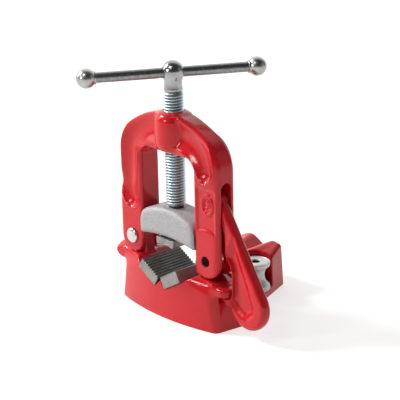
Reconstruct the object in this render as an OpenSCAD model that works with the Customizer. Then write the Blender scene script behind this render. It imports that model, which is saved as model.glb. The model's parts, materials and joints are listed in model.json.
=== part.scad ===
// Bench yoke pipe vise.
// Frame: bench face at Z = 0, clamping screw on the Z axis,
// yoke in the X-Z plane, workpiece running along Y.

/* [Base] */
// Half width of the base at its front corners
base_half_w = 79.5; // [77:0.5:82]
// Radius of the bowed front face
base_front_r = 284; // [260:2:320]
// Half width at the widest place, behind the yoke
base_wide_w = 84; // [82:0.5:86]
// Half width of the rear end
base_rear_w = 30; // [27:0.5:33]
// Rear end, measured from the yoke plane
base_rear_y = 136; // [132:1:140]
// Thickness of the sole plate
sole_t = 10; // [8:0.5:12]
// Height of the shoulders beside the V seat
shoulder_z = 57.5; // [56.5:0.5:58.5]
// Slope of each flank of the V seat, degrees
vee_deg = 30; // [28:0.5:32]

/* [Yoke] */
// Clear half width between the legs
leg_in = 43; // [42.5:0.25:43.5]
// Outer half width over the legs
leg_out = 80; // [79.5:0.25:80]
// Thickness of the legs, front to back
yoke_t = 27.4; // [26.6:0.2:27.6]
// Height of the centre of the arch
arch_z = 117.5; // [116.5:0.5:118.5]
// Radius of the top of the arch
arch_r = 110; // [109:0.5:111]
// Radius of the arch's shoulders
shoulder_r = 40; // [36:1:44]
// Top of the window under the arch
window_z = 184; // [182:0.5:185]
// Radius of the screw boss
boss_r = 20; // [18.5:0.25:21]
// Height of the hinge pin
hinge_z = 76.25; // [76:0.25:76.5]
// Distance of the hinge pin from the screw axis
hinge_x = 60; // [59.75:0.25:60.25]
// Diameter of the hinge pin
hinge_d = 11.4; // [10.8:0.1:11.8]

/* [Hook] */
// Hook pivot, distance from the screw axis
hook_x = 64; // [63.5:0.25:64.5]
// Hook pivot height
hook_z = 141; // [140:0.5:142]
// Thickness of the hook
hook_t = 13; // [12:0.25:13.2]
// Width of the slots in the two legs
slot_w = 14; // [13.8:0.1:14.4]
// Diameter of the hook pin
hook_pin_d = 10; // [9:0.25:10.5]

/* [Screw and handle] */
// Outside diameter of the screw thread
screw_d = 21; // [20:0.25:21.5]
// Lead of the screw thread
pitch = 3.175; // [3:0.025:3.3]
// Length of the threaded stretch
thread_l = 128; // [126:0.5:130]
// Diameter of the forged ball head
head_d = 22.8; // [22:0.2:24]
// Diameter of the cross bar
bar_d = 10; // [9:0.25:10.5]
// Distance of each handle ball from the screw axis
ball_x = 91.8; // [86:0.2:96]
// Diameter of the handle balls
ball_d = 21; // [20:0.25:22]
// Direction of the cross bar, degrees from X
bar_deg = 62; // [0:1:180]

/* [Upper jaw] */
// Height of the holder's top at its middle
holder_top = 122; // [121:0.25:123]
// Half width of the holder's lips over the legs
lip_w = 45; // [44.5:0.25:45.5]
// Half depth of the holder, front to back
holder_y = 17.5; // [17:0.25:18.5]
// Half width of the toothed insert
insert_w = 14; // [13:0.5:15]
// Height of the insert's tooth tips
insert_z = 79.5; // [79:0.25:80.5]

/* [Bender spools] */
// Spool centre, distance from the middle plane
spool_x = 33; // [32:0.5:34]
// Spool centre, distance behind the yoke plane
spool_y = 87; // [86:0.5:88]
// Top of the spools
spool_z = 43; // [42:0.5:44]
// Radius of the spool's rims
spool_r = 16.6; // [16:0.1:17]
// Radius of the bolt holes
bolt_r = 5.2; // [4.5:0.1:5.5]

/* [Hidden] */
$fn = 96;
run = 0.06;                       // running fit, radial
half_t = yoke_t / 2;
leg_c = (leg_in + leg_out) / 2;   // middle of a leg
leg_r = (leg_out - leg_in) / 2;   // radius of a leg's round end
foot_z = hinge_z - 1.25;          // centre of a leg's round end
arch_c = [leg_out - shoulder_r,   // centre of a shoulder's arc in X, Z
          arch_z + sqrt(pow(arch_r - shoulder_r, 2) - pow(leg_out - shoulder_r, 2))];
arch_m = arch_c[0] * arch_r / (arch_r - shoulder_r);  // where top arc and shoulder meet
boss_z = 183;                     // lower end of the screw boss
waist = [48.2, 88];               // base outline beside a spool in X, Y
draft_deg = 5.7;                  // draft of the base's side walls
thread_z = 122.8;                 // lower end of the thread
head_z = 271;                     // centre of the ball head
bar_z = 269.4;                    // axis of the cross bar
nose_r = 7;                       // screw nose in the holder
groove_r = 5;                     // groove in the nose
jaw_t = 14;                       // lower jaw, tooth tips to seat
jaw_l = 30;                       // lower jaw, along the flank
jaw_y0 = -28;                     // lower jaw, front end
jaw_y1 = 27;                      // lower jaw, rear end
seat = [8.2, 34.5];               // foot of a lower jaw in X, Z
vee = [cos(vee_deg), sin(vee_deg)];
tooth = 3.6;                      // tooth pitch of the jaws
tooth_h = 2.2;                    // tooth depth
insert_top = 87.8;                // top of the insert's toothed part
cotter_y = 19.8;                  // split pin, behind the yoke plane

// ---------- helpers ----------

// Extrudes an outline drawn in X, Z between two places on Y
module slab(y0, y1) {
  translate([0, y1, 0]) rotate([90, 0, 0]) linear_extrude(y1 - y0) children();
}

// A cylinder along Y
module ycyl(x, z, r, y0, y1) {
  translate([x, y0, z]) rotate([-90, 0, 0]) cylinder(r = r, h = y1 - y0);
}

module box(a, b) { translate(a) cube(b - a); }

module both_sides() { children(); mirror([1, 0, 0]) children(); }

// Along and across the flank of the V seat, right-hand side
function flank(u, w) = [seat[0] + u * vee[0] - w * vee[1],
                        seat[1] + u * vee[1] + w * vee[0]];

// ---------- base ----------

module base_plan(h) {
  intersection() {
    linear_extrude(h) polygon([
      [-base_half_w, -40], [base_half_w, -40], [base_half_w, -16.6],
      [base_wide_w, 20], waist, [base_rear_w, base_rear_y], [-base_rear_w, base_rear_y],
      [-waist[0], waist[1]], [-base_wide_w, 20], [-base_half_w, -16.6]]);
    translate([0, base_front_r - 28, -1]) cylinder(r = base_front_r, h = h + 2, $fn = 300);
  }
}

// Lug over the latch pocket on the hook side
module lug_right() {
  slab(-12, 12) polygon([[58, 42], [85, 42], [89, 43.5], [90, 46], [89, 48.8],
                         [86, 50.6], [80, 51], [58, 51]]);
}

// Longer lug on the hinge side, on which the opened yoke comes to rest
module lug_left() {
  slab(-11, 11) polygon([[-58, 42], [-88, 42], [-93, 44], [-95.5, 48], [-96, 53], [-94, 58],
                         [-89, 62.6], [-85.5, 64], [-84, 63], [-82, 60.5], [-81, 57], [-58, 57]]);
}

// Raised seat below the foot of the hook leg, falling to the outside
module seat_right() {
  slab(-15, 15) polygon([[47, 40], [47, 58], [51, 57.5], [73, 54], [76, 53], [76, 40]]);
}

// V seat of the lower jaws
module jaw_vee() {
  slab(-60, 40) polygon([[0, 42], seat, flank(56, 0), [60, 90], [-60, 90],
    [-flank(56, 0)[0], flank(56, 0)[1]], [-seat[0], seat[1]]]);
}

module base() {
  color("firebrick") difference() {
    union() {
      difference() {
        union() {
          base_plan(sole_t);
          intersection() {
            base_plan(shoulder_z);
            box([-100, -40, 0], [100, 28, 80]);
          }
          // rear rest
          intersection() {
            base_plan(55);
            box([-60, 98, 0], [60, 150, 55]);
          }
          // spine under the workpiece
          box([-17, 20, 0], [17, base_rear_y, 44]);
        }
        // front corners of the shoulders fall away
        both_sides() translate([47.6, -24, 50.1]) rotate([0, 58.3, -67.8])
          box([-80, -80, 0], [80, 80, 60]);
        // room above the seat of the hook leg
        translate([51, 0, 57.5]) rotate([0, 9.05, 0]) box([0, -15, 0], [60, 15, 30]);
        // latch pockets
        both_sides() box([70, -9, 20], [100, 9, 42]);
        // top of the rear rest rises to the back and falls to the sides
        both_sides() translate([22, 104.5, 46.5]) rotate([11.6, 10.7, 0])
          box([-60, -24, 0], [80, 80, 60]);
        // draft of the side walls, front and rear
        both_sides() translate([base_half_w, -16.6, 0])
          rotate([0, 0, -atan2(base_wide_w - base_half_w, 36.6)]) rotate([0, -draft_deg, 0])
          box([0, -60, -5], [60, 40, 90]);
        both_sides() translate([waist[0], waist[1], 0])
          rotate([0, 0, atan2(waist[0] - base_rear_w, base_rear_y - waist[1])]) rotate([0, -draft_deg, 0])
          box([0, 0, -5], [60, 90, 90]);
        // scoops round the spools
        both_sides() translate([spool_x, spool_y, sole_t]) cylinder(r = 20.5, h = 60);
        // V seat for the jaws
        jaw_vee();
        // room for the foot of the hinge leg as it turns
        ycyl(-hinge_x, hinge_z, 21.2, -15.2, 15.2);
        // rear V
        slab(30, 150) polygon([[0, 43], [30, 43 + 30 * tan(30)], [30, 90], [-30, 90], [-30, 43 + 30 * tan(30)]]);
      }
      lug_right();
      difference() { seat_right(); jaw_vee(); }
      difference() {
        lug_left();
        // room for the foot of the hinge leg as it turns
        ycyl(-hinge_x, hinge_z, 21.2, -15.2, 15.2);
      }
      // hinge tongue
      ycyl(-hinge_x, hinge_z, 14.2, -6.5, 6.5);
      box([-hinge_x - 14, -6.5, 50], [-hinge_x + 14, 6.5, hinge_z]);
    }
    ycyl(-hinge_x, hinge_z, hinge_d / 2, -20, 20);
    // bolt holes through the sole
    both_sides() translate([spool_x, spool_y, -1]) cylinder(r = bolt_r, h = 60);
    // dowel holes
    both_sides() jaw_dowels(0.02);
  }
}

// ---------- lower jaws ----------

function jaw_profile() = concat(
  [flank(0, 0), flank(jaw_l, 0)],
  [flank(jaw_l, jaw_t - 1)],
  [for (i = [7 : -1 : 0]) each [flank(1 + (i + 0.5) * tooth - tooth / 2 + tooth * 0.85, jaw_t - tooth_h),
                               flank(1 + i * tooth + tooth * 0.35, jaw_t)]],
  [flank(0, jaw_t - 1.4)]);

module jaw_dowels(extra) {
  for (y = [-16, 15])
    translate([flank(15, -9)[0], y, flank(15, -9)[1]]) rotate([0, -vee_deg, 0])
      cylinder(r = 2.5 + extra, h = 17);
}

module lower_jaw_right() {
  color("gray") difference() {
    slab(jaw_y0, jaw_y1) polygon(jaw_profile());
    jaw_dowels(0.02);
  }
}

module lower_jaw_left() { mirror([1, 0, 0]) lower_jaw_right(); }

module lower_jaw_dowels() { color("dimgray") both_sides() jaw_dowels(0); }

// ---------- hinge pin ----------

module hinge_pin() {
  color("gainsboro") difference() {
    translate([-hinge_x, 0, hinge_z]) rotate([-90, 0, 0]) rotate_extrude() polygon([
      [0, -half_t - 4.2], [3, -half_t - 4.0], [6, -half_t - 3.3], [8, -half_t - 2], [8.75, -half_t - 0.9],
      [8.75, -half_t - 0.3], [hinge_d / 2, -half_t - 0.3], [hinge_d / 2, 22], [hinge_d / 2 - 1, 23], [0, 23]]);
    translate([-hinge_x, cotter_y, hinge_z]) cylinder(r = 1.6, h = 40, center = true);
  }
}

module hinge_pin_washer() {
  color("silver") difference() {
    ycyl(-hinge_x, hinge_z, 10.5, half_t + 0.4, half_t + 2.6);
    ycyl(-hinge_x, hinge_z, hinge_d / 2 + 0.3, 0, 40);
  }
}

// Split pin: two legs spread below, an eye above
module hinge_pin_cotter() {
  color("silver") translate([-hinge_x, cotter_y, hinge_z]) {
    cylinder(r = 1.55, h = 18, center = true);
    translate([0, 0, 11.4]) rotate([90, 0, 0]) rotate_extrude() translate([2.6, 0]) circle(r = 1.2);
    for (s = [-1, 1]) translate([0, 0, -8.6]) rotate([0, 180 + s * 40, 0]) cylinder(r = 1.2, h = 8);
  }
}

// ---------- bender spools ----------

module spool_at(x) {
  translate([x, spool_y, 0]) difference() {
    rotate_extrude() polygon(concat(
      [[0, sole_t], [spool_r, sole_t], [spool_r, sole_t + 3.2]],
      [for (a = [-66 : 11 : 66]) [20.3 - 10 * cos(a), sole_t + 17 + 12.2 * sin(a)]],
      [[spool_r, spool_z - 3.2], [spool_r, spool_z - 0.8], [spool_r - 0.8, spool_z], [0, spool_z]]));
    translate([0, 0, -1]) cylinder(r = bolt_r, h = 80);
  }
}

module bender_spool_right() { color("silver") spool_at(spool_x); }
module bender_spool_left() { color("silver") spool_at(-spool_x); }

// ---------- yoke ----------

module flute(a0, a1) {
  translate([0, 0, 153]) rotate([90, 0, 0]) rotate([0, 0, a0])
    rotate_extrude(angle = a1 - a0) translate([59.5, half_t + 6.5]) circle(r = 10.5);
}

module yoke() {
  color("firebrick") difference() {
    union() {
      intersection() {
        ycyl(0, arch_z, arch_r, -half_t, half_t);
        union() {
          box([-arch_m, -40, 160], [arch_m, 40, 240]);
          both_sides() ycyl(arch_c[0], arch_c[1], shoulder_r, -40, 40);
          both_sides() box([0, -40, 160], [leg_out, 40, arch_c[1]]);
        }
      }
      both_sides() box([leg_in, -half_t, foot_z], [leg_out, half_t, arch_c[1]]);
      both_sides() ycyl(leg_c, foot_z, leg_r, -half_t, half_t);
      translate([0, 0, boss_z]) cylinder(r = boss_r, h = 228.5 - boss_z);
      // pad round the hook pin
      ycyl(hook_x, hook_z, 9.5, -half_t - 1, half_t + 1);
    }
    // window
    difference() {
      box([-leg_in, -40, 20], [leg_in, 40, window_z]);
      translate([0, 0, boss_z]) cylinder(r = boss_r, h = 30);
      both_sides() difference() {
        box([leg_in - 12, -50, window_z - 12], [leg_in + 1, 50, window_z + 1]);
        ycyl(leg_in - 12, window_z - 12, 12, -60, 60);
      }
    }
    // screw bore
    cylinder(r = screw_d / 2 + run, h = 300);
    // flutes in the arms, front and back
    for (s = [0, 1]) mirror([0, s, 0]) {
      flute(8, 66);
      flute(114, 180);
    }
    // fork in the left leg
    box([-leg_out - 1, -slot_w / 2, 40], [-leg_in + 1, slot_w / 2, hinge_z + 16.5]);
    // slot in the right leg
    box([50, -slot_w / 2, 40], [leg_out + 1, slot_w / 2, 157.5]);
    translate([50, 0, 157.5]) rotate([0, 90, 0]) cylinder(r = slot_w / 2, h = 40);
    // pin holes
    both_sides() ycyl(hinge_x, hinge_z, hinge_d / 2 + run, -40, 40);
    ycyl(hook_x, hook_z, hook_pin_d / 2, -40, 40);
  }
}

module hook_pin() {
  color("firebrick") ycyl(hook_x, hook_z, hook_pin_d / 2, -half_t + 0.6, half_t - 0.6);
}

// ---------- hook ----------

module hook_outline() {
  polygon([[hook_x, hook_z - 13], [72, 127], [78, 121.5], [81.8, 111], [82.8, 90], [84.5, 84], [90.5, 77],
    [92.3, 71], [92.3, 47], [91, 42.5], [88, 40], [83, 39.2], [77, 38.8], [75.4, 38], [75, 36.6],
    [76.4, 35], [84, 32.5], [90, 27.5], [100, 20], [112, 18], [128, 24], [138.9, 42], [135.4, 51.2],
    [hook_x + 11, hook_z + 6.9], [hook_x + 2, hook_z + 12.8]]);
}

module hook() {
  color("firebrick") difference() {
    union() {
      slab(-hook_t / 2, hook_t / 2) hook_outline();
      ycyl(hook_x, hook_z, 13, -hook_t / 2, hook_t / 2);
      difference() {
        ycyl(113.6, 37.6, 25.8, -hook_t / 2, hook_t / 2);
        box([80, -20, 38], [94, 20, 70]);
      }
    }
    ycyl(hook_x, hook_z, hook_pin_d / 2 + run, -20, 20);
    // dished faces
    for (s = [0, 1]) mirror([0, s, 0]) slab(-hook_t, -hook_t / 2 + 2.2) {
      polygon([[95.5, 76], [95.5, 40], [97, 33], [103, 27], [113, 27], [120, 34], [121, 42], [112, 64], [104, 82], [92, 106], [89, 104]]);
    }
  }
}

// ---------- upper jaw ----------

module holder_body(w, y) {
  intersection() {
    box([-w, -y, 70], [w, y, 140]);
    ycyl(0, holder_top - 90.4, 90.4, -y, y);
  }
}

module jaw_holder() {
  color("silver") difference() {
    union() {
      holder_body(leg_in - 0.5, half_t);
      for (s = [0, 1]) mirror([0, s, 0]) intersection() {
        holder_body(lip_w, holder_y);
        box([-60, -holder_y, 70], [60, -half_t - 0.3, 140]);
      }
      intersection() {
        holder_body(leg_in - 0.5, holder_y);
        box([-leg_in + 0.5, -holder_y, 70], [leg_in - 0.5, holder_y, 140]);
      }
    }
    // arched underside
    ycyl(0, 88.5 - 205, 205, -40, 40);
    // socket for the screw nose, with a flat round its mouth
    translate([0, 0, 99]) cylinder(r = nose_r + run, h = 60);
    translate([0, 0, 121]) cylinder(r = 13, h = 20);
    // seat for the toothed insert
    box([-insert_w, -14.5, 80], [insert_w, 14.5, 96]);
    // cross pins
    for (s = [-1, 1]) ycyl(s * (groove_r + 2.25), 106, 2.02, -15, 40);
    translate([-32, 0, 92.5]) rotate([0, 90, 0]) cylinder(r = 2.52, h = 64);
  }
}

module screw_retaining_pins() {
  color("dimgray") for (s = [-1, 1]) ycyl(s * (groove_r + 2.25), 106, 2, -14.5, 15.5);
}

function insert_profile() = concat(
  [[-insert_w, insert_top], [-insert_w, insert_z + 0.4]],
  [for (i = [0 : 6]) each [[-insert_w + (i + 0.5) * 4, insert_z + (i == 3 ? 1.9 : 1.5 - abs(i - 3) * 0.5) + 0.4 - 0.4],
                          [-insert_w + (i + 1) * 4 - (i == 6 ? 0.4 : 0), insert_z + (i < 3 ? 2.3 : i == 6 ? 0.3 : 2.3)]]],
  [[insert_w, insert_z + 0.4], [insert_w, insert_top]]);

module upper_jaw() {
  color("gray") difference() {
    union() {
      slab(-18, 18) polygon(insert_profile());
      // tenon in the holder
      box([-insert_w, -14.5, insert_top - 1], [insert_w, 14.5, 96]);
    }
    translate([-40, 0, 92.5]) rotate([0, 90, 0]) cylinder(r = 2.52, h = 80);
  }
}

module upper_jaw_pin() {
  color("dimgray") translate([-30, 0, 92.5]) rotate([0, 90, 0]) cylinder(r = 2.5, h = 60);
}

// ---------- screw and handle ----------

function thread_ring(i) = let (z = thread_z + 1.6 + i * pitch) [
  [screw_d / 2 - 1.6, z], [screw_d / 2, z + pitch * 0.32],
  [screw_d / 2, z + pitch * 0.56], [screw_d / 2 - 1.6, z + pitch * 0.88]];

module screw() {
  n = floor((thread_l - 3) / pitch);
  top = thread_z + 1.6 + n * pitch;
  color("lightsteelblue") difference() {
    union() {
      rotate_extrude() polygon(concat(
        [[0, 99.4], [nose_r - 1, 99.4], [nose_r, 100.4], [nose_r, 103.7], [groove_r, 103.7], [groove_r, 108.3],
         [nose_r, 108.3], [nose_r, 121.4], [screw_d / 2 - 2.4, 121.4], [screw_d / 2 - 1.6, thread_z]],
        [for (i = [0 : n - 1]) each thread_ring(i)],
        [[screw_d / 2 - 1.6, top], [10.2, top + 2.4], [10.3, top + 3.6], [9.9, top + 7], [9.7, top + 10.5],
         [9.7, head_z - 6], [0, head_z - 6]]));
      translate([0, 0, head_z]) sphere(r = head_d / 2);
    }
    translate([0, 0, bar_z]) rotate([0, 90, bar_deg]) cylinder(r = bar_d / 2 + run, h = 60, center = true);
  }
}

module along_bar() { translate([0, 0, bar_z]) rotate([0, 0, bar_deg]) children(); }

module handle_bar() {
  color("lightgray") along_bar() rotate([0, 90, 0])
    cylinder(r = bar_d / 2, h = 2 * ball_x, center = true);
}

module handle_ball(s) {
  along_bar() difference() {
    translate([s * ball_x, 0, 0]) sphere(r = ball_d / 2);
    translate([s > 0 ? 0 : -ball_x, 0, 0]) rotate([0, 90, 0]) cylinder(r = bar_d / 2, h = ball_x);
  }
}

module handle_ball_left() { color("lightgray") handle_ball(-1); }
module handle_ball_right() { color("lightgray") handle_ball(1); }

base();
lower_jaw_left();
lower_jaw_right();
lower_jaw_dowels();
hinge_pin();
hinge_pin_washer();
hinge_pin_cotter();
bender_spool_left();
bender_spool_right();
yoke();
hook_pin();
hook();
jaw_holder();
upper_jaw();
upper_jaw_pin();
screw_retaining_pins();
screw();
handle_bar();
handle_ball_left();
handle_ball_right();
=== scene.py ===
import json
import math
import bpy
import numpy as np
from mathutils import Vector, Matrix

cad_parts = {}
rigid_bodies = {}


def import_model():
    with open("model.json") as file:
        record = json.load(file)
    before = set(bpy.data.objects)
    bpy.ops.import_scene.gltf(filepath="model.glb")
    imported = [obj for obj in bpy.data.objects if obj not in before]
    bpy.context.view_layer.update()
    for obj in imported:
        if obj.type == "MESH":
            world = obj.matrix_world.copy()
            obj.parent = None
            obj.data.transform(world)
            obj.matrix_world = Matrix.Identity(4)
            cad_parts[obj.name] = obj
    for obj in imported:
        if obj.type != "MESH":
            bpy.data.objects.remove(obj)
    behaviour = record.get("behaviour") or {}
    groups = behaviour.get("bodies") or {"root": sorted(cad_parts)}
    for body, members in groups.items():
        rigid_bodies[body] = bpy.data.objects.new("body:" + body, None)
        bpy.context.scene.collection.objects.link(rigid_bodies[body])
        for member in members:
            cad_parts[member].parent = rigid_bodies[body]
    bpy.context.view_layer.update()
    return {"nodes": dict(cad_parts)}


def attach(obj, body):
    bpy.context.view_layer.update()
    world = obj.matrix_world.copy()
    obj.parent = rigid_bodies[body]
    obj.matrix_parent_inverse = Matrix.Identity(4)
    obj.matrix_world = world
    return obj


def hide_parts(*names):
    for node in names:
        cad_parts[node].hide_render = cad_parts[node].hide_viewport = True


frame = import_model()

MM = 0.001
f32 = np.float32

# =====================================================================
# Signed-distance modelling: cast shapes are written as distance fields
# in millimetres, blended, and turned into clean quad meshes.
# =====================================================================


def smin(a, b, k):
    h = np.maximum(k - np.abs(a - b), 0.0) / k
    return np.minimum(a, b) - h * h * (k * 0.25)


def smax(a, b, k):
    h = np.maximum(k - np.abs(a - b), 0.0) / k
    return np.maximum(a, b) + h * h * (k * 0.25)


def step01(v):
    v = np.clip(v, 0.0, 1.0)
    return v * v * (3.0 - 2.0 * v)


def poly2(px, pz, pts):
    """Distance to a closed outline, negative inside."""
    d = np.full(px.shape, 1e12, f32)
    inside = np.zeros(px.shape, bool)
    n = len(pts)
    for i in range(n):
        x0, z0 = pts[i]
        x1, z1 = pts[i - 1]
        ex, ez = x1 - x0, z1 - z0
        wx, wz = px - x0, pz - z0
        t = np.clip((wx * ex + wz * ez) / (ex * ex + ez * ez), 0.0, 1.0)
        bx, bz = wx - ex * t, wz - ez * t
        d = np.minimum(d, bx * bx + bz * bz)
        c = (pz >= z0) != (pz >= z1)
        if abs(ez) > 1e-9:
            inside ^= c & (px < x0 + ex * (wz / ez))
    d = np.sqrt(d)
    return np.where(inside, -d, d)


def capsule2(x, z, a, ra, b, rb):
    """Distance to two circles and the tangents between them."""
    bx, bz = b[0] - a[0], b[1] - a[1]
    h = bx * bx + bz * bz
    px, pz = x - a[0], z - a[1]
    qx = np.abs((px * bz - pz * bx) / h)
    qz = (px * bx + pz * bz) / h
    dr = ra - rb
    cx, cz = math.sqrt(h - dr * dr), dr
    k = cx * qz - cz * qx
    m = cx * qx + cz * qz
    n = qx * qx + qz * qz
    d = m - ra
    d = np.where(k < 0.0, np.sqrt(h * n) - ra, d)
    d = np.where(k > cx, np.sqrt(np.maximum(h * (n + 1.0 - 2.0 * qz), 0.0)) - rb, d)
    return d


def rbox2(px, pz, hx, hz, r):
    qx, qz = np.abs(px) - hx + r, np.abs(pz) - hz + r
    return np.minimum(np.maximum(qx, qz), 0.0) + np.hypot(np.maximum(qx, 0.0), np.maximum(qz, 0.0)) - r


def arc(cx, cz, r, a0, a1, n):
    return [(cx + r * math.cos(math.radians(a0 + (a1 - a0) * i / n)),
             cz + r * math.sin(math.radians(a0 + (a1 - a0) * i / n))) for i in range(n + 1)]


def groove2(px, pz, pts):
    """Distance to an open line over the line's half width there."""
    q = np.full(px.shape, 1e12, f32)
    for (x0, z0, w0), (x1, z1, w1) in zip(pts[:-1], pts[1:]):
        ex, ez = x1 - x0, z1 - z0
        wx, wz = px - x0, pz - z0
        t = np.clip((wx * ex + wz * ez) / (ex * ex + ez * ez), 0.0, 1.0)
        bx, bz = wx - ex * t, wz - ez * t
        w = w0 + (w1 - w0) * t
        q = np.minimum(q, (bx * bx + bz * bz) / (w * w))
    return np.sqrt(q)


def polygonise(fn, lo, hi, h):
    """Quad mesh of fn = 0, one vertex in each cell that the surface
    crosses, each pulled onto the surface along its gradient."""
    B = 8
    lo = np.array(lo, float)
    nb = np.ceil((np.array(hi, float) - lo) / (h * B)).astype(int)
    nn = nb * B + 1
    bi = np.stack(np.meshgrid(*[np.arange(k) for k in nb], indexing="ij"), -1).reshape(-1, 3)
    bc = (lo + (bi * B + B / 2) * h).astype(f32)
    bd = fn(bc[:, 0], bc[:, 1], bc[:, 2]).reshape(nb)
    live = np.abs(bd) < B * h * 0.8661 * 1.25 + 1.2
    D = np.repeat(np.repeat(np.repeat(np.where(bd < 0, -50.0, 50.0).astype(f32), B, 0), B, 1), B, 2)
    D = np.pad(D, ((0, 1), (0, 1), (0, 1)), mode="edge")
    m = np.repeat(np.repeat(np.repeat(live, B, 0), B, 1), B, 2)
    mask = np.zeros(tuple(nn), bool)
    for dx in (0, 1):
        for dy in (0, 1):
            for dz in (0, 1):
                mask[dx:dx + m.shape[0], dy:dy + m.shape[1], dz:dz + m.shape[2]] |= m
    ijk = np.argwhere(mask)
    vals = np.empty(len(ijk), f32)
    for s in range(0, len(ijk), 300000):
        p = (lo + ijk[s:s + 300000] * h).astype(f32)
        vals[s:s + 300000] = fn(p[:, 0], p[:, 1], p[:, 2])
    D[mask] = vals
    ins = (D < 0).astype(np.uint8)
    sx, sy, sz = [k - 1 for k in D.shape]
    tot = np.zeros((sx, sy, sz), np.uint8)
    for dx in (0, 1):
        for dy in (0, 1):
            for dz in (0, 1):
                tot += ins[dx:dx + sx, dy:dy + sy, dz:dz + sz]
    cells = np.argwhere((tot > 0) & (tot < 8))
    index = np.full((sx, sy, sz), -1, np.int64)
    index[tuple(cells.T)] = np.arange(len(cells))
    corner = [(a, b, c) for a in (0, 1) for b in (0, 1) for c in (0, 1)]
    cv = np.stack([D[cells[:, 0] + a, cells[:, 1] + b, cells[:, 2] + c] for a, b, c in corner], 1)
    acc = np.zeros((len(cells), 3))
    cnt = np.zeros(len(cells))
    for i, ca in enumerate(corner):
        for j, cb in enumerate(corner):
            if j > i and sum(abs(p - q) for p, q in zip(ca, cb)) == 1:
                a, b = cv[:, i], cv[:, j]
                x = (a < 0) != (b < 0)
                t = np.where(x, a / np.where(x, a - b, 1.0), 0.0)
                ca_, cb_ = np.array(ca, float), np.array(cb, float)
                acc += np.where(x[:, None], ca_ + (cb_ - ca_) * t[:, None], 0.0)
                cnt += x
    v = (lo + (cells + acc / cnt[:, None]) * h)
    e = 0.12
    for _ in range(4):
        out = np.empty(len(v))
        g = np.empty((len(v), 3))
        for s in range(0, len(v), 300000):
            q = v[s:s + 300000].astype(f32)
            d0 = fn(q[:, 0], q[:, 1], q[:, 2])
            out[s:s + 300000] = d0
            for k in range(3):
                a, b = q.copy(), q.copy()
                a[:, k] += e
                b[:, k] -= e
                g[s:s + 300000, k] = (fn(a[:, 0], a[:, 1], a[:, 2]) - fn(b[:, 0], b[:, 1], b[:, 2])) / (2 * e)
        gl = np.maximum((g * g).sum(1), 0.2)
        mv = -(out / gl)[:, None] * g
        ln = np.linalg.norm(mv, axis=1, keepdims=True)
        v += mv * np.minimum(1.0, 0.45 * h / np.maximum(ln, 1e-9))
    quads = []
    for ax in range(3):
        o1, o2 = (ax + 1) % 3, (ax + 2) % 3
        a = np.take(ins, range(0, ins.shape[ax] - 1), ax)
        b = np.take(ins, range(1, ins.shape[ax]), ax)
        ed = np.argwhere(a != b)
        ed = ed[(ed[:, o1] > 0) & (ed[:, o2] > 0) & (ed[:, o1] < index.shape[o1]) & (ed[:, o2] < index.shape[o2])]
        fl = a[tuple(ed.T)] == 0

        def cell(d1, d2):
            c = ed.copy()
            c[:, o1] += d1
            c[:, o2] += d2
            return index[tuple(c.T)]
        q = np.stack([cell(-1, -1), cell(0, -1), cell(0, 0), cell(-1, 0)], 1)
        q[fl] = q[fl][:, ::-1]
        quads.append(q)
    return v, np.concatenate(quads)


def add_mesh(name, v, faces, smooth=True):
    """Makes an object from points in millimetres."""
    me = bpy.data.meshes.new(name)
    v = np.asarray(v, float) * MM
    if isinstance(faces, np.ndarray) and faces.ndim == 2:
        nf, k = faces.shape
        me.vertices.add(len(v))
        me.vertices.foreach_set("co", v.ravel())
        me.loops.add(nf * k)
        me.loops.foreach_set("vertex_index", faces.ravel().astype(np.int32))
        me.polygons.add(nf)
        me.polygons.foreach_set("loop_start", np.arange(0, nf * k, k, dtype=np.int32))
        me.update(calc_edges=True)
    else:
        me.from_pydata(v.tolist(), [], faces)
    me.validate()
    me.polygons.foreach_set("use_smooth", np.full(len(me.polygons), smooth))
    ob = bpy.data.objects.new(name, me)
    bpy.context.scene.collection.objects.link(ob)
    return ob


def sharp_by_angle(ob, deg):
    """Marks the edges that turn more than deg as sharp."""
    import bmesh
    bm = bmesh.new()
    bm.from_mesh(ob.data)
    for e in bm.edges:
        if len(e.link_faces) == 2:
            e.smooth = e.calc_face_angle(0.0) < math.radians(deg)
    bm.to_mesh(ob.data)
    bm.free()
    return ob


def bevelled(ob, width, deg=30, seg=2):
    m = ob.modifiers.new("bevel", "BEVEL")
    m.width = width * MM
    m.segments = seg
    m.limit_method = "ANGLE"
    m.angle_limit = math.radians(deg)
    m.harden_normals = True
    dg = bpy.context.evaluated_depsgraph_get()
    me = bpy.data.meshes.new_from_object(ob.evaluated_get(dg))
    ob.modifiers.clear()
    old = ob.data
    ob.data = me
    bpy.data.meshes.remove(old)
    return ob


def lathe(name, prof, n, at, axis):
    """Turns a profile of (radius, height) points; ends on the axis close."""
    v, f = [], []
    rings = []
    for r, h in prof:
        if r < 1e-6:
            rings.append([len(v)])
            v.append((0.0, 0.0, h))
        else:
            rings.append(list(range(len(v), len(v) + n)))
            v += [(r * math.cos(2 * math.pi * i / n), r * math.sin(2 * math.pi * i / n), h) for i in range(n)]
    for a, b in zip(rings[:-1], rings[1:]):
        for i in range(n):
            j = (i + 1) % n
            if len(a) == 1:
                f.append((a[0], b[i], b[j])[::-1])
            elif len(b) == 1:
                f.append((a[i], a[j], b[0]))
            else:
                f.append((a[i], a[j], b[j], b[i]))
    m = Vector((0, 0, 1)).rotation_difference(Vector(axis)).to_matrix()
    v = [m @ Vector(p) + Vector(at) for p in v]
    return sharp_by_angle(add_mesh(name, v, f), 32)


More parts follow.
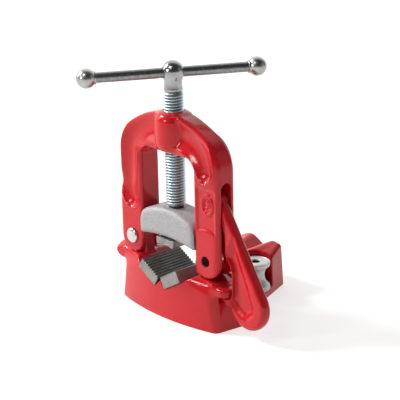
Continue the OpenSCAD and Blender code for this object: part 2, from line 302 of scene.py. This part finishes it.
def prism(name, pts, y0, y1):
    """An outline in X, Z run along Y."""
    n = len(pts)
    area = sum(pts[i - 1][0] * pts[i][1] - pts[i][0] * pts[i - 1][1] for i in range(n))
    if area > 0:
        pts = pts[::-1]
    v = [(x, y0, z) for x, z in pts] + [(x, y1, z) for x, z in pts]
    f = [tuple(range(n))[::-1], tuple(range(n, 2 * n))]
    f += [(i, (i + 1) % n, n + (i + 1) % n, n + i) for i in range(n)]
    return add_mesh(name, v, f, smooth=False)


# =====================================================================
# Camera
# =====================================================================

cam_data = bpy.data.cameras.new("camera")
cam_data.lens = 112.68
cam_data.sensor_width = 36.0
cam_data.sensor_height = 36.0
cam_data.sensor_fit = "HORIZONTAL"
cam_data.clip_start = 0.05
cam_data.clip_end = 50.0
cam = bpy.data.objects.new("camera", cam_data)
bpy.context.scene.collection.objects.link(cam)
right = Vector((0.66972, 0.74241, -0.01972)).normalized()
back = Vector((0.7092, -0.6314, 0.3137)).normalized()
up = back.cross(right).normalized()
cam.matrix_world = Matrix((
    (right.x, up.x, back.x, 0.97895),
    (right.y, up.y, back.y, -0.83722),
    (right.z, up.z, back.z, 0.55320),
    (0, 0, 0, 1)))
bpy.context.scene.camera = cam

# =====================================================================
# Cast shapes
# =====================================================================

HALF_T = 13.7          # half thickness of the yoke's legs
SPOOL = (33.0, 87.0)   # spool axis, right-hand side
HX, HZ = -60.0, 76.25  # hinge pin

# Outline of the base on the bench, drawn 3 mm inside its edge
PLAN = [(76.5, -14.4), (81.0, 19.4), (45.5, 86.7), (27.9, 133.0), (-27.9, 133.0), (-45.5, 86.7), (-81.0, 19.4),
        (-76.5, -14.4)] + \
    [(x, 256.0 - math.sqrt(281.0 ** 2 - x * x)) for x in np.linspace(-72, 72, 25)]


def curve(pts, n=8):
    """A smooth line through the given points."""
    p = [pts[0]] + list(pts) + [pts[-1]]
    out = []
    for i in range(1, len(p) - 2):
        for j in range(n):
            t = j / n
            out.append(tuple(0.5 * (2 * b + (c - a) * t + (2 * a - 5 * b + 4 * c - d) * t * t
                                    + (3 * b - a - 3 * c + d) * t ** 3)
                             for a, b, c, d in zip(p[i - 1], p[i], p[i + 1], p[i + 2])))
    return out + [tuple(pts[-1])]


def base_sdf(x, y, z):
    ax, ay = np.abs(x), np.abs(y)
    dp = poly2(x, y, PLAN) - 3.0
    sr = np.hypot(ax - SPOOL[0], y - SPOOL[1])
    # front block, its corners falling away
    fall = 0.321 * (ax - 47.6) - 0.788 * (y + 24.0) + 0.526 * (z - 48.8)
    block = smax(smax(z - 57.5, fall, 5.0), y - 28.0, 6.0)
    # spine and rear rest, whose top rises to the back and falls to the sides
    spine = smax(smax(ax - 17.0, z - 47.0, 6.0), 15.0 - y, 4.0)
    rise = 46.5 - 0.19 * (ax - 22.0) + 0.206 * (y - 104.5)
    rear = smax(0.963 * (z - rise), 98.0 - y, 5.0)
    d = smin(smin(z - 10.0, spine, 9.0), rear, 7.0)
    d = smin(d, block, 8.0)
    # walls with draft, corners rounder towards the top
    side = 0.9876 * (ax - 79.5) - 0.1214 * (y + 16.6) + 0.0995 * z
    wall = smax(np.hypot(x, y - 256.0) - 284.0 + 0.02 * z, side, 6.0 + 0.12 * np.maximum(z, 0.0))
    wall = np.maximum(wall, dp + 0.055 * z * step01((y - 70.0) / 25.0))
    d = smax(d, wall, 5.0)
    # scoops round the spools
    d = smax(d, -smax(sr - 20.5, 10.0 - z, 2.5), 2.6)
    # latch pockets
    pk = poly2(ax, z, [(73.8, 42), (73.8, 37), (75.5, 34), (80, 31.5), (96, 25), (96, 42)])
    d = smax(d, -smax(pk, ay - 9.0, 1.5), 1.5)
    # room above the seat of the hook leg, room for the foot of the hinge leg
    top = 0.9876 * (z - 57.5) + 0.157 * (x - 51.0)
    d = smax(d, -smax(np.maximum(51.0 - x, ay - 15.0), -top, 0.8), 1.0)
    foot = np.hypot(x - HX, z - HZ) - 21.0
    d = smax(d, -smax(foot, ay - 15.2, 0.8), 1.0)
    # seat of the hook leg
    seat = smax(poly2(x, y, [(46, -15), (71.5, -15), (82, -2), (82, 15), (46, 15)]), top + 0.1, 1.2)
    seat = smax(seat, 40.0 - z, 1.0)
    # lugs over the pockets, the left one longer and raised
    lr = smax(smax(rbox2(x - 70.0, y, 20.0, 14.6, 10.0), z - 51.2, 4.2), 41.8 - z, 2.0)
    ll = poly2(x, z, [(-58, 45), (-84, 45), (-89.5, 46.5), (-92.6, 50), (-93.4, 54), (-92, 57), (-87.6, 60.6),
                      (-85.6, 61.4), (-83, 60.4), (-79, 57), (-74, 54.5), (-58, 55)]) - 2.5
    ll = smax(smax(ll, ay - 12.8, 4.5), 0.62 * (ay - 4.0) + 0.74 * (z - 62.5) - 0.25 * (x + 84.0), 3.0)
    ll = smax(ll, -foot, 1.2)
    d = smin(smin(d, lr, 5.0), ll, 6.0)
    d = smin(d, seat, 0.8)
    # V seat for the jaws, V of the rear rest
    vee = poly2(ax, z, [(-0.01, 42.0), (8.2, 34.5), (58.0, 34.5 + 49.8 * 0.57735), (70, 100), (-0.01, 100)])
    d = smax(d, -smax(vee, y - 40.0, 0.5), 1.2)
    rv = ((43.0 + ax * 0.57735) - z) * 0.866
    d = smax(d, -smax(rv, 30.0 - y, 1.0), 2.5)
    # hinge tongue
    tg = np.where(z > HZ, np.hypot(x - HX, z - HZ) - 14.2, np.abs(x - HX) - 14.0)
    tg = smax(np.maximum(tg, 50.0 - z), ay - 6.5, 2.0)
    d = smin(d, tg, 3.0)
    d = np.maximum(d, -(np.hypot(x - HX, z - HZ) - 5.75))
    # bolt holes
    d = smax(d, -(sr - 5.2), 0.8)
    return smax(d, -z, 1.0)


# Lines of the flutes in X, Z with their half width
FLUTE_R = curve([(17, 209, 16.5), (33, 205.5, 16.5), (46, 199, 16.5), (55, 190, 15.5), (60, 181, 13.6),
                 (61.5, 175.5, 12.6)])
FLUTE_L = curve([(-17, 209, 16.5), (-33, 205.5, 16.5), (-46, 199, 16.5), (-55.5, 190, 15.8), (-61, 181, 14.3),
                 (-62.5, 170, 14), (-64, 152, 13.8), (-65.5, 134, 14.0), (-60.5, 121.5, 12.4)])


def yoke_sdf(x, y, z):
    ax, ay = np.abs(x), np.abs(y)
    r = np.hypot(x, y)
    # outline: top arc, shoulder arcs, straight legs, round feet
    sx, sz = ax - 40.0, z - 174.94
    out = np.where(sz > 1.436 * np.maximum(sx, 0.0), np.hypot(x, z - 117.5) - 110.0, np.hypot(sx, sz) - 40.0)
    out = np.where(sz < 0.0, ax - 80.0, out)
    out = np.where((z < 75.0) & (x < 0.0), np.hypot(ax - 61.5, z - 75.0) - 18.5, out)
    # the hook leg ends flat on its seat
    sole = np.maximum(0.9876 * (58.2 - z) - 0.157 * (x - 51.0), 56.7 - z)
    out = np.where((z < 100.0) & (x > 0.0), smax(ax - 80.0, sole, 25.0), out)
    edge = 8.0 - np.where(x > 0.0, 5.0 * step01((80.0 - z) / 18.0), 4.4 * step01((140.0 - z) / 32.0))
    # flutes along the arms, front and back
    fl = np.minimum(groove2(x, z, FLUTE_R), groove2(x, z, FLUTE_L))
    lip = 0.8 * np.exp(-((fl - 1.05) / 0.075) ** 2)
    d = smax(out, ay - HALF_T + 5.4 * smax(1.0 - fl * fl, 0.0, 0.07) - lip, edge)
    # round screw boss, a little bulged
    bs = smax(smax(r - 21.3 + 0.0042 * (z - 207.0) ** 2, z - 228.5, 10.0), 182.5 - z, 12.0)
    d = smin(d, bs, 3.0)
    # window
    d = smax(d, -rbox2(x, z - 92.0, 43.0, 92.0, 12.0), 4.5)
    # step on the hook leg: full round the pin hole, thinner above
    dpad = np.hypot(x - 61.5, z - 77.0) - 35.0
    thin = smax(smax((HALF_T - 1.7) - ay, -dpad, 2.5), z - 157.0, 4.0)
    thin = smax(thin, np.abs(x - 61.5) - 13.5, 3.0)
    d = smax(d, -thin, 2.2)
    # oval ring round the hook pin
    rr = np.hypot(x - 64.0, z - 141.0)
    ro = np.hypot((x - 63.7) * 1.28, z - 139.8)
    d = smin(d, np.hypot((ro - 10.2) / 1.15, ay - (HALF_T - 1.7)) - 1.4, 1.8)
    d = smax(d, -smax(rr - 5.4, (HALF_T - 2.4) - ay, 0.8), 1.2)
    # slot in the hook leg and fork in the hinge leg
    sl = np.where(z > 157.5, np.hypot(y, z - 157.5) - 7.0, ay - 7.0)
    d = smax(d, -np.maximum(sl, 50.0 - x), 1.6)
    d = smax(d, -np.maximum(np.maximum(ay - 7.0, z - 92.75), x + 40.0), 1.6)
    # holes
    d = smax(d, -(np.hypot(ax + HX, z - HZ) - 5.76), 1.2)
    d = smax(d, -(r - 11.2), 1.4)
    return d


HOOK_GAP = [(48, 128.4), (64, 128), (72, 126.6), (78, 121.5), (81.8, 111), (82.8, 90), (84.5, 84), (90.5, 77),
            (92.3, 71), (92.3, 47), (91, 42.5), (88, 40), (83, 39.2), (77, 38.9), (60, 38.9), (40, 80)]
HOOK_NOSE = [(96, 40), (88, 40), (83, 39.2), (77.4, 38.8), (75.8, 38.1), (75.1, 36.6), (76.6, 34.7), (84, 31.6),
             (90, 27.2), (96, 24.5)]
HOOK_DISH = [(76, 84), (76, 44), (86, 36), (97, 26.5), (105, 20.5), (115, 21), (126, 30), (127.5, 40), (118.5, 64),
             (109, 84), (98, 112), (93, 114), (84, 96)]


def hook_sdf(x, y, z):
    ay = np.abs(y)
    outer = capsule2(x, z, (64.0, 141.0), 13.0, (113.6, 37.6), 25.8)
    gap = poly2(x, z, HOOK_GAP)
    eye = np.hypot(x - 64.0, z - 141.0)
    # deep dish with a thin inner rim and a wide outer bead
    depth = 4.3 * step01(-poly2(x, z, HOOK_DISH) / 11.0) * step01((gap - 0.9) / 2.0)
    face = ay - 6.5 + depth
    d = smax(smax(outer, face, 6.0), -gap, 1.6)
    nose_t = 6.5 - 4.3 * step01((x - 83.0) / 10.0)
    d = smin(d, smax(poly2(x, z, HOOK_NOSE), ay - nose_t, 3.0), 1.2)
    d = np.minimum(d, smax(eye - 13.0, ay - 6.5, 2.0))
    return smax(d, -(eye - 5.06), 1.0)


def holder_sdf(x, y, z):
    ax, ay = np.abs(x), np.abs(y)
    r = np.hypot(x, y)
    top = np.hypot(x, z - 31.6) - 90.4
    bot = 205.0 - np.hypot(x, z + 116.5)
    d = smax(smax(top, ax - 45.4, 9.0), bot, 4.0)
    d = smax(d, ay - 17.5, 7.5)
    # guides for the legs
    d = smax(d, -np.maximum(42.6 - ax, ay - 13.95), 1.0)
    # flat round the screw, its socket, seat of the insert, pin holes at the back
    d = smax(d, -smax(r - 13.0, 121.0 - z, 0.8), 1.5)
    d = smax(d, -np.maximum(r - 7.06, 99.0 - z), 0.6)
    d = smax(d, -np.maximum(np.maximum(ax - 14.05, ay - 14.55), z - 96.0), 0.8)
    d = smax(d, -np.maximum(np.hypot(ax - 7.25, z - 106.0) - 2.02, 13.0 - y), 0.5)
    return d


def head_sdf(x, y, z):
    """Forged ball head of the screw with its neck and cross hole."""
    r = np.hypot(x, y)
    ball = np.sqrt(r * r + (z - 270.4) ** 2) - 12.0
    neck = r - (9.55 + 0.0095 * (z - 259.5) ** 2)
    neck = smax(neck, 0.62 * r + 0.78 * (250.6 - z) - 6.6, 1.5)
    d = smin(ball, np.maximum(neck, z - 267.0), 3.0)
    c, s = math.cos(math.radians(62)), math.sin(math.radians(62))
    hole = np.hypot(-x * s + y * c, z - 269.4) - 5.6
    d = smax(d, -hole, 1.0)
    return np.maximum(d, 247.6 - z)


def cast(name, fn, lo, hi, h, node, body):
    v, f = polygonise(fn, lo, hi, h)
    ob = add_mesh(name, v, f)
    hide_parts(node)
    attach(ob, body)
    return ob


base = cast("base_casting", base_sdf, (-99, -32, -2), (94, 139, 96), 0.8, "base", "base")
yoke = cast("yoke_casting", yoke_sdf, (-83, -23.6, 54), (83, 23.6, 231), 0.75, "yoke", "yoke")
hook = cast("hook_casting", hook_sdf, (49, -8, 10), (141, 8, 156), 0.6, "hook", "hook")
holder = cast("jaw_holder_casting", holder_sdf, (-47, -19, 80), (47, 19, 124), 0.6, "jaw_holder", "jaw")

# =====================================================================
# Screw
# =====================================================================


def thread_mesh():
    """Right-hand thread: the rows of the mesh follow the helix, so that
    crest and root stay crisp."""
    p, n, k = 3.175, 56, 10
    prof = [(0.00, 8.8), (0.07, 8.8), (0.17, 9.55), (0.28, 10.45), (0.34, 10.85), (0.40, 11.0),
            (0.54, 11.0), (0.60, 10.85), (0.66, 10.45), (0.84, 9.3)]
    z0, z1 = 122.8, 249.6
    turns = int(math.ceil((z1 - z0) / p)) + 1
    v, f = [], []
    rows = turns * k + 1
    for i in range(-k, rows):
        t, r = prof[i % k]
        zb = z0 + p * (i // k + t)
        for j in range(n):
            z = zb + p * j / n
            zc = min(max(z, z0), z1)
            lim = min(8.2 + (zc - z0) * 0.9, 8.9 + (z1 - zc) * 0.9)
            rr = min(r, lim)
            a = 2 * math.pi * j / n
            v.append((rr * math.cos(a), rr * math.sin(a), zc))
    R = rows + k
    for i in range(R - 1):
        for j in range(n):
            if j < n - 1:
                f.append((i * n + j, i * n + j + 1, (i + 1) * n + j + 1, (i + 1) * n + j))
            elif i + k + 1 < R:
                f.append((i * n + j, (i + k) * n, (i + k + 1) * n, (i + 1) * n + j))
    import bmesh
    ob = add_mesh("screw_thread", v, f)
    bm = bmesh.new()
    bm.from_mesh(ob.data)
    bmesh.ops.remove_doubles(bm, verts=bm.verts, dist=2e-6)
    bmesh.ops.dissolve_degenerate(bm, edges=bm.edges, dist=2e-6)
    bmesh.ops.holes_fill(bm, edges=[e for e in bm.edges if e.is_boundary], sides=0)
    bmesh.ops.recalc_face_normals(bm, faces=bm.faces)
    for q in bm.faces:
        q.smooth = True
    bm.to_mesh(ob.data)
    bm.free()
    return sharp_by_angle(ob, 40)


thread = thread_mesh()
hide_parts("screw")
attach(thread, "screw")
v, f = polygonise(head_sdf, (-14, -14, 247), (14, 14, 284), 0.45)
head = add_mesh("screw_head", v, f)
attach(head, "screw")
nose = lathe("screw_nose", [(0, 99.4), (6, 99.4), (7, 100.4), (7, 103.7), (5, 103.7), (5, 108.3), (7, 108.3),
                            (7, 121.4), (8.1, 121.4), (8.2, 123.2), (0, 123.2)], 48, (0, 0, 0), (0, 0, 1))
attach(nose, "screw")

# =====================================================================
# Handle
# =====================================================================

BAR = Vector((math.cos(math.radians(62)), math.sin(math.radians(62)), 0.0))
BAR_C = Vector((0, 0, 269.4))
bar = lathe("handle_rod", [(0, -91.6), (4.7, -91.6), (5.5, -90.8), (5.5, -60), (5.5, -30), (5.5, 0), (5.5, 30),
                           (5.5, 60), (5.5, 90.8), (4.7, 91.6), (0, 91.6)], 48, BAR_C, BAR)
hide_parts("handle_bar")
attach(bar, "handle")
for s, nm in ((-1, "left"), (1, "right")):
    prof = [(5.52, -9.5), (6.3, -9.9), (6.8, -9.5), (6.95, -8.9)]
    prof += [(10.5 * math.sin(math.radians(a)), -10.5 * math.cos(math.radians(a))) for a in range(42, 172, 4)]
    prof += [(1.2, 10.42), (0.9, 10.2), (0, 10.05)]
    ball = lathe("handle_knob_" + nm, prof, 64, BAR_C + BAR * (91.8 * s), BAR * s)
    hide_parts("handle_ball_" + nm)
    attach(ball, "handle")

# =====================================================================
# Jaws
# =====================================================================

VEE = (math.cos(math.radians(30)), math.sin(math.radians(30)))


def flank(u, w):
    return (8.2 + u * VEE[0] - w * VEE[1], 34.5 + u * VEE[1] + w * VEE[0])


def tooth_line(n, u0, pitch, top, deep):
    out = []
    for i in range(n):
        u = u0 + i * pitch
        out += [(u, top - deep), (u + pitch * 0.30, top - 0.12), (u + pitch * 0.42, top - 0.12),
                (u + pitch * 0.94, top - deep)]
    return out


for side, nm in ((1, "right"), (-1, "left")):
    uw = [(0.3, 0.0), (29.7, 0.0), (30.0, 0.3), (30.0, 12.6), (29.4, 13.4)]
    uw += tooth_line(8, 0.5, 3.6, 14.0, 2.2)[::-1]
    uw += [(0.0, 11.6), (0.0, 0.3)]
    pts = [flank(u, w) for u, w in uw]
    jaw = prism("lower_jaw_block_" + nm, [(p[0] * side, p[1]) for p in pts], -28.0, 27.0)
    bevelled(jaw, 0.22, 24, 2)
    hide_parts("lower_jaw_" + nm)
    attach(jaw, "base")

up = [(-14, 87.8), (-14, 80.2)]
for i in range(7):
    c = -12 + i * 4
    rise = 1.9 - abs(i - 3) * 0.6
    up += [(c - 1.5, 80.6 + rise), (c - 0.25, 78.9 + rise + 0.6), (c + 0.25, 78.9 + rise + 0.6), (c + 1.5, 80.6 + rise)]
up += [(14, 80.2), (14, 87.8)]
ujaw = prism("upper_jaw_block", up, -18.0, 18.0)
bevelled(ujaw, 0.2, 24, 2)
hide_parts("upper_jaw")
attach(ujaw, "jaw")

# =====================================================================
# Pins and spools
# =====================================================================

pin = lathe("hinge_pin_turned", [
    (0, -HALF_T - 3.9), (2, -HALF_T - 3.86), (4, -HALF_T - 3.75), (6, -HALF_T - 3.5), (7.4, -HALF_T - 3.1),
    (8.2, -HALF_T - 2.5), (8.6, -HALF_T - 1.7), (8.75, -HALF_T - 1.0), (8.7, -HALF_T - 0.5), (8.4, -HALF_T - 0.3),
    (5.7, -HALF_T - 0.3), (5.7, 0), (5.7, 22.0), (4.7, 23.0), (0, 23.0)], 64, (HX, 0, HZ), (0, 1, 0))
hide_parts("hinge_pin")
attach(pin, "base")
wash = lathe("hinge_washer_turned", [(6.0, HALF_T + 0.4), (6.0, HALF_T + 2.6), (10.0, HALF_T + 2.6), (10.5, HALF_T + 2.2),
                                     (10.5, HALF_T + 0.7), (10.2, HALF_T + 0.4), (6.0, HALF_T + 0.4)],
             48, (HX, 0, HZ), (0, 1, 0))
for p in wash.data.polygons:
    p.flip()
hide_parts("hinge_pin_washer")
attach(wash, "base")
hp = lathe("hook_pin_turned", [(0, -HALF_T + 1.2), (2.0, -HALF_T + 1.3), (3.6, -HALF_T + 1.7), (4.6, -HALF_T + 2.2), (5.0, -HALF_T + 2.9),
                               (5.0, 0), (5.0, HALF_T - 2.9), (4.6, HALF_T - 2.2), (3.6, HALF_T - 1.7),
                               (2.0, HALF_T - 1.3), (0, HALF_T - 1.2)],
           40, (64, 0, 141), (0, 1, 0))
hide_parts("hook_pin")
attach(hp, "yoke")

for side, nm in ((1, "right"), (-1, "left")):
    prof = [(5.2, 10.0), (16.2, 10.0), (16.6, 10.4), (16.6, 12.6), (16.2, 13.4)]
    prof += [(20.4 - 10.1 * math.cos(math.radians(a)), 26.8 + 12.6 * math.sin(math.radians(a))) for a in range(-66, 67, 6)]
    prof += [(16.2, 39.9), (16.6, 40.6), (16.6, 42.2), (16.1, 42.8), (15.2, 43.0), (14.6, 43.0), (14.3, 42.75), (13.9, 42.75),
             (13.6, 43.0), (6.4, 43.0), (5.5, 42.4), (5.2, 41.6), (5.2, 10.0)]
    sp = lathe("bender_spool_turned_" + nm, prof, 72, (SPOOL[0] * side, SPOOL[1], 0), (0, 0, 1))
    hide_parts("bender_spool_" + nm)
    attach(sp, "base")

# =====================================================================
# Materials
# =====================================================================


def material(name):
    m = bpy.data.materials.new(name)
    m.use_nodes = True
    nt = m.node_tree
    nt.nodes.clear()
    out = nt.nodes.new("ShaderNodeOutputMaterial")
    sh = nt.nodes.new("ShaderNodeBsdfPrincipled")
    nt.links.new(sh.outputs["BSDF"], out.inputs["Surface"])
    co = nt.nodes.new("ShaderNodeTexCoord")
    return m, nt, sh, co.outputs["Object"]


def noise(nt, co, scale, detail=3.0, rough=0.55):
    n = nt.nodes.new("ShaderNodeTexNoise")
    n.inputs["Scale"].default_value = scale
    n.inputs["Detail"].default_value = detail
    n.inputs["Roughness"].default_value = rough
    nt.links.new(co, n.inputs["Vector"])
    return n.outputs["Fac"]


def ramp(nt, fac, stops):
    r = nt.nodes.new("ShaderNodeValToRGB")
    els = r.color_ramp.elements
    while len(els) < len(stops):
        els.new(0.5)
    for e, (p, c) in zip(els, stops):
        e.position = p
        e.color = (*c, 1.0) if len(c) == 3 else c
    nt.links.new(fac, r.inputs["Fac"])
    return r.outputs["Color"]


def rough_map(nt, sh, fac, a, b):
    r = nt.nodes.new("ShaderNodeMapRange")
    r.inputs["To Min"].default_value = a
    r.inputs["To Max"].default_value = b
    nt.links.new(fac, r.inputs["Value"])
    nt.links.new(r.outputs["Result"], sh.inputs["Roughness"])


def bump(nt, sh, fac, strength, dist, after=None):
    b = nt.nodes.new("ShaderNodeBump")
    b.inputs["Strength"].default_value = strength
    b.inputs["Distance"].default_value = dist
    nt.links.new(fac, b.inputs["Height"])
    if after is not None:
        nt.links.new(after, b.inputs["Normal"])
    nt.links.new(b.outputs["Normal"], sh.inputs["Normal"])
    return b.outputs["Normal"]


def red_enamel():
    m, nt, sh, co = material("red_enamel_paint")
    big = noise(nt, co, 28.0, 3.0)
    col = ramp(nt, big, [(0.25, (0.43, 0.007, 0.013)), (0.5, (0.49, 0.009, 0.015)), (0.8, (0.55, 0.011, 0.018))])
    nt.links.new(col, sh.inputs["Base Color"])
    rough_map(nt, sh, noise(nt, co, 160.0, 3.0), 0.13, 0.22)
    sh.inputs["Specular IOR Level"].default_value = 0.32
    n1 = bump(nt, sh, noise(nt, co, 240.0, 4.0), 0.08, 0.0006)
    bump(nt, sh, noise(nt, co, 60.0, 2.0), 0.10, 0.0018, n1)
    return m


def zinc_thread():
    """Blue zinc with painted shade in the thread roots and a lighter tone on the crests, set by the distance from the
    screw's axis."""
    m, nt, sh, co = material("blue_zinc")
    flat = nt.nodes.new("ShaderNodeVectorMath")
    flat.operation = "MULTIPLY"
    flat.inputs[1].default_value = (1.0, 1.0, 0.0)
    nt.links.new(co, flat.inputs[0])
    ln = nt.nodes.new("ShaderNodeVectorMath")
    ln.operation = "LENGTH"
    nt.links.new(flat.outputs["Vector"], ln.inputs[0])
    mr = nt.nodes.new("ShaderNodeMapRange")
    mr.inputs["From Min"].default_value = 0.0087
    mr.inputs["From Max"].default_value = 0.0110
    nt.links.new(ln.outputs["Value"], mr.inputs["Value"])
    # painted shade: near-black in the roots, lighter zinc out towards the crests
    col = ramp(nt, mr.outputs["Result"], [(0.0, (0.06, 0.08, 0.088)), (0.25, (0.29, 0.37, 0.39)),
                                          (0.7, (0.52, 0.62, 0.65)), (1.0, (0.64, 0.74, 0.77))])
    nt.links.new(col, sh.inputs["Base Color"])
    sh.inputs["Metallic"].default_value = 1.0
    rough_map(nt, sh, noise(nt, co, 500.0, 3.0), 0.34, 0.48)
    bump(nt, sh, noise(nt, co, 900.0, 3.0), 0.08, 0.0002)
    return m


def metal(name, lo, hi, r0, r1, grain=900.0, bmp=0.06, dist=0.0002, metallic=1.0, scale=120.0):
    m, nt, sh, co = material(name)
    col = ramp(nt, noise(nt, co, scale, 4.0), [(0.3, lo), (0.7, hi)])
    nt.links.new(col, sh.inputs["Base Color"])
    sh.inputs["Metallic"].default_value = metallic
    rough_map(nt, sh, noise(nt, co, grain * 0.6, 3.0), r0, r1)
    bump(nt, sh, noise(nt, co, grain, 3.0), bmp, dist)
    return m


red = red_enamel()
zinc = zinc_thread()
forged = metal("forged_head", (0.30, 0.31, 0.31), (0.41, 0.42, 0.42), 0.17, 0.27, grain=600.0, bmp=0.1)
polished = metal("polished_steel", (0.36, 0.36, 0.355), (0.46, 0.46, 0.455), 0.25, 0.35)
drawn = metal("drawn_bar", (0.17, 0.185, 0.185), (0.32, 0.33, 0.325), 0.26, 0.42, grain=700.0, bmp=0.12, scale=400.0)
ground = metal("ground_jaw", (0.22, 0.22, 0.21), (0.34, 0.34, 0.33), 0.38, 0.55, grain=800.0, bmp=0.12, metallic=0.8)
bright = metal("bright_pin", (0.56, 0.555, 0.54), (0.70, 0.69, 0.68), 0.22, 0.34, grain=500.0)
silver = metal("silver_spool", (0.46, 0.47, 0.47), (0.60, 0.61, 0.60), 0.34, 0.48, grain=600.0, metallic=0.55)
grey = metal("grey_casting", (0.24, 0.236, 0.244), (0.45, 0.445, 0.455), 0.52, 0.68, grain=560.0, bmp=0.5, dist=0.0006,
             metallic=0.2, scale=900.0)
# painted shade: near-black colour for the insides of bores
bore = metal("painted_shade_bore", (0.022, 0.021, 0.020), (0.05, 0.048, 0.045), 0.55, 0.75, grain=500.0, metallic=0.3)


def give(ob, m):
    ob.data.materials.clear()
    ob.data.materials.append(m)


for ob in (base, yoke, hook, hp):
    give(ob, red)
give(holder, grey)
give(thread, zinc)
give(nose, zinc)
give(head, forged)
give(bar, drawn)
for ob in bpy.data.objects:
    if ob.name.startswith("handle_knob"):
        give(ob, polished)
    elif ob.name.startswith(("lower_jaw_block", "upper_jaw_block")):
        give(ob, ground)
    elif ob.name.startswith("bender_spool_turned"):
        give(ob, silver)


def paint_bore_shade(ob, inside):
    """Near-black painted shade, standing for unpainted metal in shadow, on the faces whose centre lies in a bore."""
    ob.data.materials.append(bore)
    n = len(ob.data.polygons)
    c = np.empty(n * 3)
    ob.data.polygons.foreach_get("center", c)
    c = c.reshape(n, 3) / MM
    ob.data.polygons.foreach_set("material_index", inside(c[:, 0], c[:, 1], c[:, 2]).astype(np.int32))


# painted shade inside the spool bores and the yoke's pin holes
for ob in bpy.data.objects:
    if ob.name.startswith("bender_spool_turned"):
        paint_bore_shade(ob, lambda x, y, z: (np.hypot(np.abs(x) - SPOOL[0], y - SPOOL[1]) < 5.3) & (z < 41.5))
paint_bore_shade(yoke, lambda x, y, z: (np.hypot(np.abs(x) + HX, z - HZ) < 6.1) & (np.abs(y) < HALF_T - 0.5) & (np.abs(y) > 7.3))
give(pin, bright)
give(wash, bright)
for n in ("hinge_pin_cotter", "lower_jaw_dowels", "upper_jaw_pin", "screw_retaining_pins"):
    give(frame["nodes"][n], bright if n == "hinge_pin_cotter" else ground)

# =====================================================================
# Floor and light
# =====================================================================

bpy.ops.mesh.primitive_plane_add(size=40.0, location=(0, 0, -0.0002))
floor = bpy.context.object
floor.name = "studio_floor"
m, nt, sh, co = material("pale_floor")
nt.links.new(ramp(nt, noise(nt, co, 3.0), [(0.3, (0.40, 0.396, 0.39)), (0.7, (0.42, 0.416, 0.41))]),
             sh.inputs["Base Color"])
sh.inputs["Roughness"].default_value = 0.7
sh.inputs["Specular IOR Level"].default_value = 0.1
sh.inputs["Emission Color"].default_value = (1.0, 0.995, 0.99, 1.0)
sh.inputs["Emission Strength"].default_value = 0.66
floor.data.materials.append(m)

world = bpy.data.worlds.new("studio")
bpy.context.scene.world = world
world.use_nodes = True
wt = world.node_tree
bg = wt.nodes["Background"]
bg.inputs["Color"].default_value = (1.0, 0.995, 0.99, 1.0)
# white studio wall low behind and to the left, dim room elsewhere
wc = wt.nodes.new("ShaderNodeTexCoord")
wd = wt.nodes.new("ShaderNodeVectorMath")
wd.operation = "DOT_PRODUCT"
wd.inputs[1].default_value = (-0.756, 0.605, 0.252)
wt.links.new(wc.outputs["Generated"], wd.inputs[0])
wm = wt.nodes.new("ShaderNodeMapRange")
wm.interpolation_type = "SMOOTHSTEP"
wm.inputs["From Min"].default_value = 0.15
wm.inputs["From Max"].default_value = 0.95
wm.inputs["To Min"].default_value = 0.06
wm.inputs["To Max"].default_value = 1.5
wt.links.new(wd.outputs["Value"], wm.inputs["Value"])
wt.links.new(wm.outputs["Result"], bg.inputs["Strength"])


def aim(ob, loc, target):
    d = Vector(target) - Vector(loc)
    ob.rotation_euler = d.to_track_quat("-Z", "Y").to_euler()
    ob.location = loc
    bpy.context.scene.collection.objects.link(ob)
    return ob


def area(name, loc, target, size, size_y, power, color=(1, 1, 1)):
    l = bpy.data.lights.new(name, "AREA")
    l.shape = "RECTANGLE"
    l.size = size
    l.size_y = size_y
    l.energy = power
    l.color = color
    return aim(bpy.data.objects.new(name, l), loc, target)


sun = bpy.data.lights.new("key", "SUN")
sun.energy = 2.9
sun.angle = math.radians(13)
sun.color = (1.0, 0.985, 0.96)
aim(bpy.data.objects.new("key", sun), (-0.70, -0.42, 0.66), (0, 0, 0))
area("left_softbox", (-1.15, -0.65, 0.75), (0, 0, 0.14), 0.5, 0.8, 3.6, (1.0, 0.98, 0.95))
area("right_card", (1.0, 0.75, 0.55), (0, 0, 0.14), 0.6, 0.9, 0.6)
area("front_softbox", (-0.22, -1.25, 0.62), (0, 0, 0.12), 0.22, 0.22, 4.5, (1.0, 0.985, 0.965))
area("top_softbox", (0.12, -0.7, 1.1), (0.05, 0, 0.08), 0.3, 0.3, 2.2, (1.0, 0.985, 0.965))

bpy.context.scene.view_settings.view_transform = "Standard"
bpy.context.scene.view_settings.look = "None"
